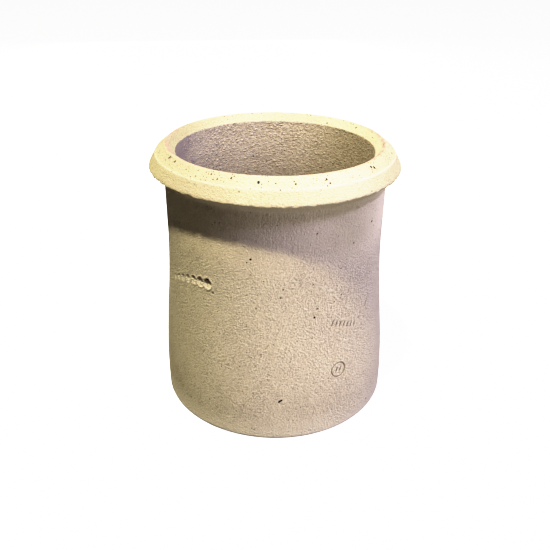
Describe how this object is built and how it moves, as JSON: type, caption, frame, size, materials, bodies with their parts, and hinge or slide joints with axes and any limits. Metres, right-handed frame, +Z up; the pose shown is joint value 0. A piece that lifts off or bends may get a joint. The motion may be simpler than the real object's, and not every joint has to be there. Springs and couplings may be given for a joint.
{
  "type": "chimney pot",
  "caption": "Squat round chimney pot in unglazed buff clay with a heavy overhanging rim, a slightly spreading foot and an open flue.",
  "frame": {"origin": "centre of the foot's underside", "axes": "+Z up along the flue's axis, towards the rim; -Y is the front, with the pressed marks left and right of it"},
  "size_m": [0.271, 0.271, 0.3],
  "materials": {
    "fired_clay": "unglazed, coarse and matt, with a dry drag texture, dark specks and a worn crest"
  },
  "bodies": {
    "root": {"pot": "fired_clay"}
  },
  "joints": []
}
